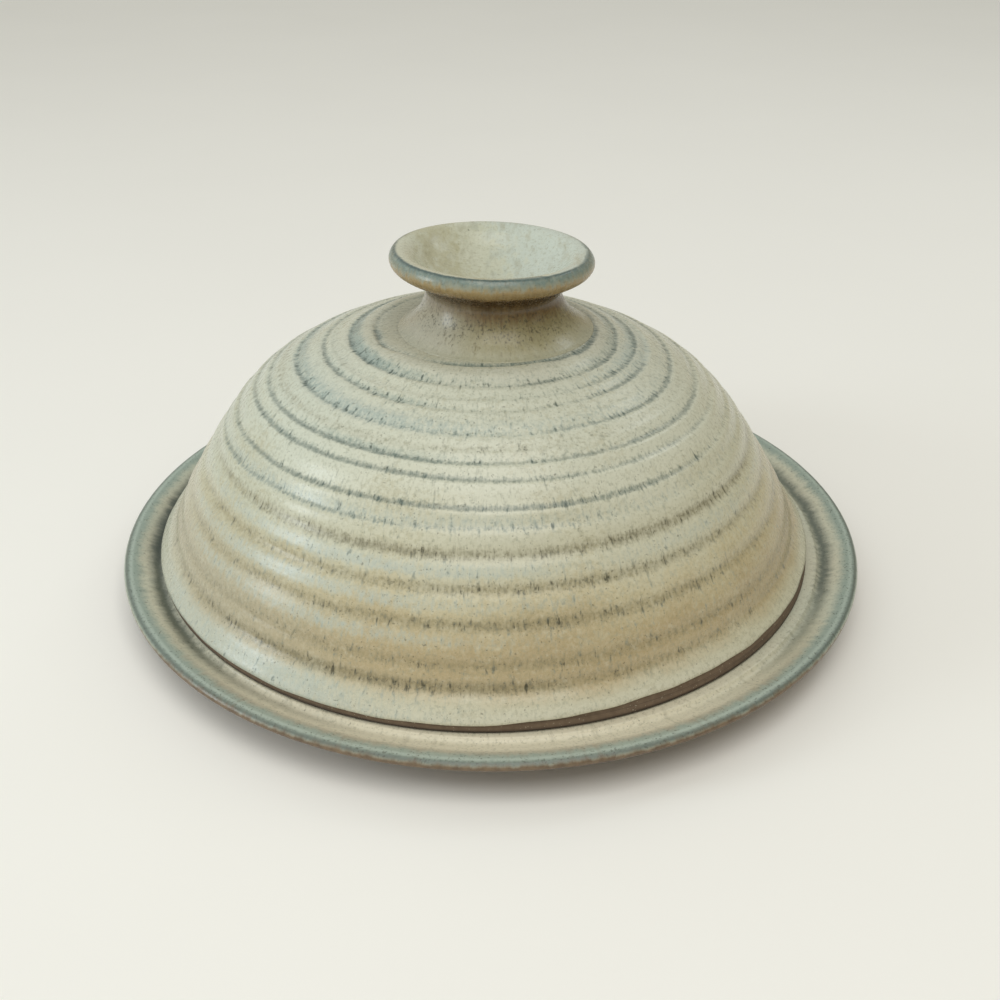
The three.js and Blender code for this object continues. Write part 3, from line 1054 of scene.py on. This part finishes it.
def knob_glaze():
    g = Glaze("knob_glaze")
    where = g.position()
    x, y, z = g.split(where)
    along, rise, crest, smear = [g.attribute(label) for label in ("along", "rise", "crest", "smear")]
    runs = g.drift(g.flow(where, -2.0, KNOB_RING, 5.0), 0.9, 2.0, 0.6)
    hairs = g.drift(g.flow(where, 0.0, KNOB_RING, 2.6), 1.5, 2.0, 0.6, 9.0)
    mottle = g.drift(where, 0.6, 3.0, 0.65, 3.0)
    cloud = g.drift(where, 0.07, 2.0, 0.5, 8.0)
    grain = g.drift(where, 1.5, 2.0, 0.6, 21.0)

    # dish, olive to the lower left and bluish up and to the right: painted shade on the inner wall that faces
    # away from the left window and painted light on the wall that faces it
    broad = g.drift(g.joined(x, y * 0.3, z), 0.4, 2.0, 0.6)
    dish_light_and_shade = x * 0.055 + y * 0.02 + broad * 1.4 + mottle * 0.8
    dish = g.blend(g.step(cloud, -0.2, 0.2), (196, 198, 178), (202, 203, 184))
    dish = g.blend(g.hump(dish_light_and_shade, -1.1, -0.55, 0.0) * 0.6, dish, (172, 166, 130))
    dish = g.tint(dish, dish_light_and_shade, 0.1, 0.7, 0.5, (188, 202, 200))
    dish = g.tint(dish, broad, 0.0, 0.25, 0.45, (160, 156, 130))
    dish = g.tint(dish, grain, 0.0, 0.22, 0.25, (150, 148, 124))

    # outside, from the foot up: speckled cream, brown waist, darkest where the neck turns out under the rim
    # (brown glaze with painted shadow of the rim), orange-tan under the rim, blue-grey at the rim
    level = rise + runs * g.step(rise, 13, 17, 4.5, 2.4) + mottle * 2.0
    outer = g.ramp(level, KNOB_GROUND)
    outer = g.blend(g.step(x, 0, -14) * g.step(rise, 13, 6, 0.0, 0.7), outer, (186, 184, 170))
    colour = g.blend(g.step(along, -0.6, 0.1), outer, dish)

    # line and smear of dark glaze on the crest
    crest_line = g.hump(along + runs * 0.7, -1.4, -0.4, 0.5) * crest
    colour = g.blend(crest_line * 0.9, colour, (60, 80, 80))
    colour = g.tint(colour, smear + mottle * 1.2, 0.3, 0.7, 0.75, (92, 110, 108))

    # pale and dark mottling, dark strokes and specks, most of them on the waist
    outside = g.step(along, -0.4, -1.0)
    colour = g.tint(colour, mottle, 0.0, 0.25, 0.15, (214, 208, 184))
    colour = g.tint(colour, grain, 0.02, 0.22, 0.2, (140, 134, 108))
    hairy = g.step(hairs, 0.02, 0.24) * g.step(outside, 0, 1, 0.05, 0.4)
    colour = g.blend(hairy, colour, (96, 84, 60))
    waist = g.hump(rise, -1.0, 6.0, 15.0) * outside
    wisps = runs * 0.6 + hairs * 0.5 + mottle * 0.4
    strokes = g.step(wisps + waist * 0.1, 0.16, 0.3) * g.step(outside, 0, 1, 0.1, 0.6)
    colour = g.blend(strokes, colour, (78, 72, 50))
    colour = speckled(g, colour, where, waist * 1.2 - 0.3)
    hem = g.step(rise + mottle * 1.5, 2.2, 0.1, 0.0, 0.45) * outside
    colour = g.blend(hem, colour, (158, 158, 134))

    gloss = g.step(mottle, -0.2, 0.2, 0.22, 0.32)
    return g.finish(colour, gloss, g.bump(grain * 0.15 + mottle * 0.4 + runs * 0.3, 0.05))


# ---------------------------------------------------------------- floor, light and camera

FLOOR_HALF = 4.0  # metres
FLOOR_DROP = 0.0001  # the floor lies this far below the foot ring, in metres
FLOOR_PAPER = (250, 248, 244)
FLOOR_SHADE = (247, 245, 241)

SKY_STRENGTH = 0.86
SKY_BY_HEIGHT = [(0.0, (238, 206, 168)), (0.14, (238, 226, 208)), (0.4, (242, 242, 240))]
SKY_ACROSS = [(-0.8, (250, 255, 255)), (0.9, (162, 156, 138))]  # from the left to the right
BACKDROP = (228, 226, 220)
COOL = (0.84, 0.94, 1.0)
WARM = (1.0, 0.98, 0.94)
LIGHT_TARGET = (0, 0, 0.04)

CAMERA_PLACE = (0.00243, -0.30558, 0.19865)
CAMERA_PITCH = 30.504  # degrees below the horizon
CAMERA_ROLL = 0.409
CAMERA_LENS = 45.99
CAMERA_SENSOR = 36
CAMERA_SHIFT = (-0.0005, -0.0011)


def floor_paper():
    g = Glaze("floor_paper")
    where = g.position()
    colour = g.blend(g.noise(where, 0.01, 2.0, 0.5), FLOOR_PAPER, FLOOR_SHADE)
    return g.finish(colour, 0.9, g.bump(g.noise(where, 0.5), 0.01))


def build_floor():
    mesh = bpy.data.meshes.new("floor")
    corners = [(FLOOR_HALF * x, FLOOR_HALF * y, -FLOOR_DROP) for x, y in [(-1, -1), (1, -1), (1, 1), (-1, 1)]]
    mesh.from_pydata(corners, [], [(0, 1, 2, 3)])
    floor = bpy.data.objects.new("floor", mesh)
    bpy.context.scene.collection.objects.link(floor)
    floor.data.materials.append(floor_paper())


def build_world():
    """Pale room: cooler and brighter on the left, dimmer on the right, and warm near the horizon. The
    camera itself sees a plain backdrop instead."""
    world = bpy.data.worlds.new("room")
    bpy.context.scene.world = world
    world.use_nodes = True
    n = Nodes(world.node_tree)
    x, _, z = n.split(n.new("TexCoord").outputs["Generated"])
    sky = n.new("Background")
    n.put(sky.inputs["Color"], n.blend(1.0, n.ramp(z, SKY_BY_HEIGHT), n.ramp(x, SKY_ACROSS), "MULTIPLY"))
    n.put(sky.inputs["Strength"], SKY_STRENGTH)
    backdrop = n.new("Background")
    n.put(backdrop.inputs["Color"], linear(BACKDROP))
    choice = n.new("MixShader")
    n.put(choice.inputs[0], n.new("LightPath").outputs["Is Camera Ray"])
    n.put(choice.inputs[1], sky.outputs[0])
    n.put(choice.inputs[2], backdrop.outputs[0])
    n.put(n.new("OutputWorld").inputs["Surface"], choice.outputs[0])


def window_light(name, azimuth, elevation, distance, width, height, power, colour):
    """A soft rectangular light seen from the crock at this azimuth and elevation, in degrees and metres."""
    light = bpy.data.lights.new(name, "AREA")
    light.shape = "RECTANGLE"
    light.size = width
    light.size_y = height
    light.energy = power
    light.color = colour
    lamp = bpy.data.objects.new(name, light)
    bpy.context.scene.collection.objects.link(lamp)
    turn = math.radians(azimuth)
    lift = math.radians(elevation)
    away = Vector((math.cos(lift) * math.cos(turn), math.cos(lift) * math.sin(turn), math.sin(lift)))
    lamp.location = Vector(LIGHT_TARGET) + away * distance
    lamp.rotation_euler = (-away).to_track_quat("-Z", "Y").to_euler()


def build_lights():
    window_light("left_window", -167, 19, 0.9, 0.20, 0.36, 1.5, COOL)
    window_light("right_window", -16, 19, 0.9, 0.14, 0.24, 0.06, COOL)
    window_light("back_window", 37, 43, 0.9, 0.16, 0.16, 0.3, COOL)
    window_light("ceiling", -80, 66, 1.1, 0.8, 0.8, 4.8, WARM)


def build_camera():
    data = bpy.data.cameras.new("camera")
    data.sensor_width = CAMERA_SENSOR
    data.lens = CAMERA_LENS
    data.shift_x, data.shift_y = CAMERA_SHIFT
    data.clip_start = 0.01
    camera = bpy.data.objects.new("camera", data)
    bpy.context.scene.collection.objects.link(camera)
    look = Matrix.Rotation(math.radians(90 - CAMERA_PITCH), 4, "X")
    roll = Matrix.Rotation(math.radians(CAMERA_ROLL), 4, "Z")
    camera.matrix_world = Matrix.Translation(CAMERA_PLACE) @ look @ roll
    bpy.context.scene.camera = camera


# ---------------------------------------------------------------- build

build_plate()
build_dome()
build_knob()
build_floor()
build_world()
build_lights()
build_camera()
bpy.context.scene.view_settings.view_transform = "Standard"
